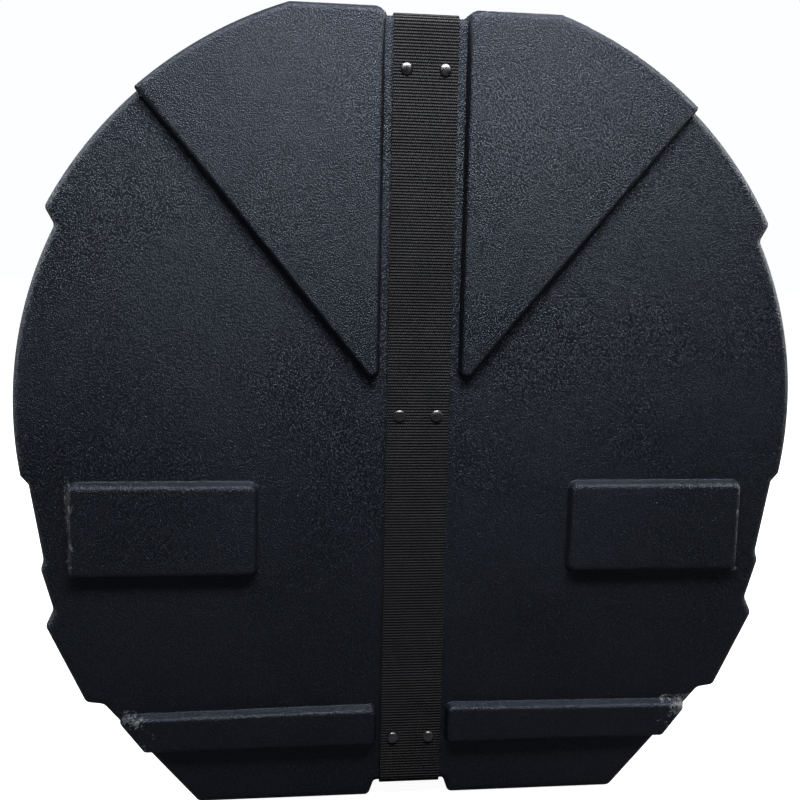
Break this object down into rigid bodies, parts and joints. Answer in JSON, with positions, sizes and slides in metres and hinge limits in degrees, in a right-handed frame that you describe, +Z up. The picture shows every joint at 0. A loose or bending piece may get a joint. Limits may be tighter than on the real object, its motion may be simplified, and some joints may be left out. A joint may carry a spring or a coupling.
{
  "type": "drum case",
  "caption": "Hard moulded drum case that stands on flat feet: a tub with raised panels, a telescoping lid, a riveted webbing strap with a side-release buckle and a fold-down handle.",
  "frame": {"origin": "on the floor under the middle of the case's bounding box", "axes": "+Z up, the riveted back face looks along -Y, the lid and the buckle are on the +Y side, +X to the right when the back face is looked at"},
  "size_m": [0.628, 0.5028, 0.6597],
  "materials": {
    "shell_plastic": "black polyethylene with a faint blue tint and a fine pebble grain, satin",
    "foam": "charcoal closed-cell foam with a dull skin",
    "webbing": "charcoal ribbed polypropylene webbing",
    "fitting_plastic": "black moulded acetal, satin",
    "black_rivet": "black painted aluminium rivet, semi-gloss",
    "steel": "zinc-plated steel",
    "grip_rubber": "black ribbed rubber"
  },
  "bodies": {
    "base": {"base_shell": "shell_plastic", "base_floor_foam": "foam", "base_wall_foam": "foam", "strap_back": "webbing", "strap_top": "webbing", "strap_bottom": "webbing", "strap_rivets_top": "black_rivet", "strap_rivets_middle": "black_rivet", "strap_rivets_bottom": "black_rivet", "strap_washers": "steel", "handle_bracket_left": "fitting_plastic", "handle_bracket_right": "fitting_plastic", "handle_pins": "steel", "bracket_rivets": "black_rivet", "bracket_washers": "steel"},
    "lid": {"lid_shell": "shell_plastic", "lid_foam": "foam", "strap_front_upper": "webbing", "strap_front_lower": "webbing", "buckle_body": "fitting_plastic"},
    "plug": {"buckle_plug": "fitting_plastic", "strap_tail": "webbing"},
    "keeper": {"strap_keeper": "fitting_plastic"},
    "prong_left": {"buckle_prong_left": "fitting_plastic"},
    "prong_right": {"buckle_prong_right": "fitting_plastic"},
    "handle": {"handle_bail": "fitting_plastic", "handle_grip": "grip_rubber"}
  },
  "joints": [
    {"name": "lid_slide", "type": "slide", "parent": "base", "child": "lid", "axis": [0, 1, 0], "range_m": [0, 0.16], "deforming": ["strap_top", "strap_bottom"]},
    {"name": "plug_release", "type": "slide", "parent": "lid", "child": "plug", "axis": [0, 0, 1], "range_m": [0, 0.036], "deforming": ["strap_front_upper"]},
    {"name": "prong_left_flex", "type": "hinge", "parent": "plug", "child": "prong_left", "pos_m": [-0.02, 0.2444, 0.264], "axis": [0, -1, 0], "range_deg": [0, 13]},
    {"name": "prong_right_flex", "type": "hinge", "parent": "plug", "child": "prong_right", "pos_m": [0.02, 0.2444, 0.264], "axis": [0, 1, 0], "range_deg": [0, 13]},
    {"name": "keeper_slide", "type": "slide", "parent": "plug", "child": "keeper", "axis": [0, 0, 1], "range_m": [-0.05, 0.03]},
    {"name": "handle_fold", "type": "hinge", "parent": "base", "child": "handle", "pos_m": [0, -0.03, 0.6497], "axis": [1, 0, 0], "range_deg": [0, 180]}
  ],
  "couplings": [
    {"joint": "prong_left_flex", "follows": "plug_release", "rad_per_m": 6},
    {"joint": "prong_right_flex", "follows": "plug_release", "rad_per_m": 6}
  ]
}
